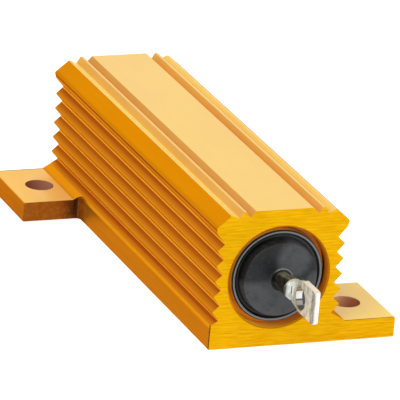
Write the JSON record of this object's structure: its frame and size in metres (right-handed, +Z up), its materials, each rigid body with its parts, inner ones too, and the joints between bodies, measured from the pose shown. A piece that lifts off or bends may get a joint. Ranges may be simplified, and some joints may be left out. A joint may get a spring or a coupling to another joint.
{
  "type": "braking resistor",
  "caption": "Wirewound power resistor in a finned gold aluminium housing with diagonal mounting lugs and eyed terminals.",
  "frame": {"origin": "centre of the base plane, midway between both ends and both flange edges", "axes": "+Y along the body from the front terminal to the rear one, +Z up away from the mounting surface, +X to the right, towards the front lug"},
  "size_m": [0.029, 0.0706, 0.0159],
  "materials": {
    "gold_anodised_aluminium": "gold anodised extrusion, satin, with bright sawn ends",
    "black_moulding": "black moulded compound, semi-gloss",
    "ceramic": "unglazed white ceramic",
    "resistance_wire": "rolled alloy ribbon, dull",
    "cap_steel": "drawn steel",
    "tinned_terminal": "tinned, satin with pressing marks"
  },
  "bodies": {
    "root": {"housing": "gold_anodised_aluminium", "moulding": "black_moulding", "ceramic_core": "ceramic", "resistance_winding": "resistance_wire", "end_cap_front": "cap_steel", "end_cap_rear": "cap_steel", "terminal_front": "tinned_terminal", "terminal_rear": "tinned_terminal"}
  },
  "joints": []
}
